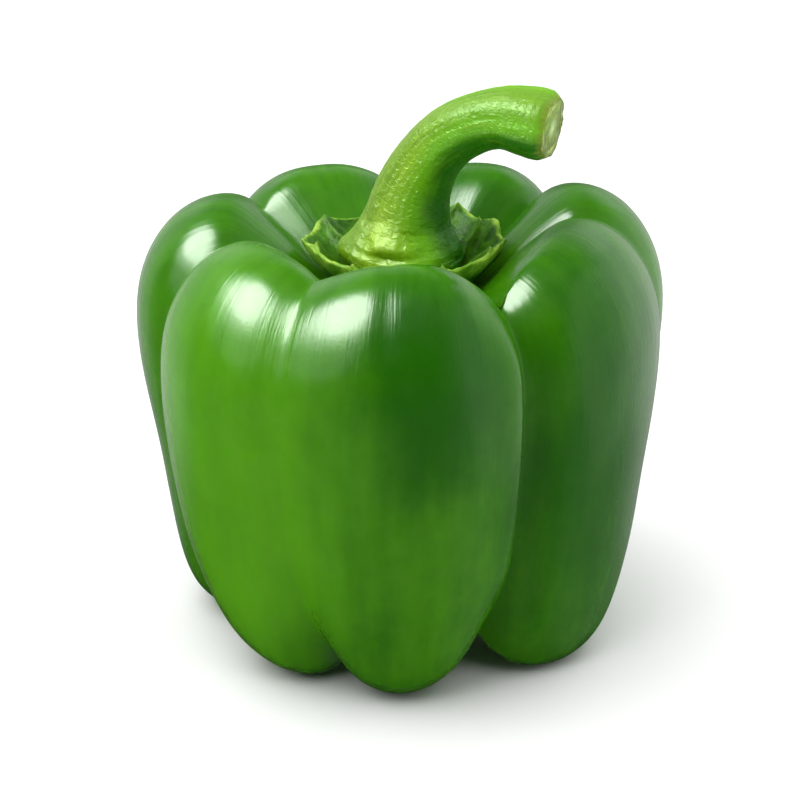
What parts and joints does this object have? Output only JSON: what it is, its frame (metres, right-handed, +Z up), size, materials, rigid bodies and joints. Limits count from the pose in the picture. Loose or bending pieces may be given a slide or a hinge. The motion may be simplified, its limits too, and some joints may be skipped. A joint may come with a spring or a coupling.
{
  "type": "bell pepper",
  "caption": "Blocky lobed bell pepper standing on its feet, with a ragged calyx in the hollow of its top and a thick stem that bends over to a cut end.",
  "frame": {"origin": "middle of the box that the pepper covers, on the surface it stands on", "axes": "+Z up through the stem, -Y the front, +X to the right, towards which the stem bends"},
  "size_m": [0.0914, 0.0872, 0.0997],
  "materials": {
    "skin": "waxy, saturated green, soft gloss",
    "calyx": "leafy green with a pale, slightly dry lip",
    "stem": "yellow-green, finely striated, half gloss, with a pale olive cut end"
  },
  "bodies": {
    "root": {"fruit": "skin", "calyx": "calyx", "stem": "stem"}
  },
  "joints": []
}
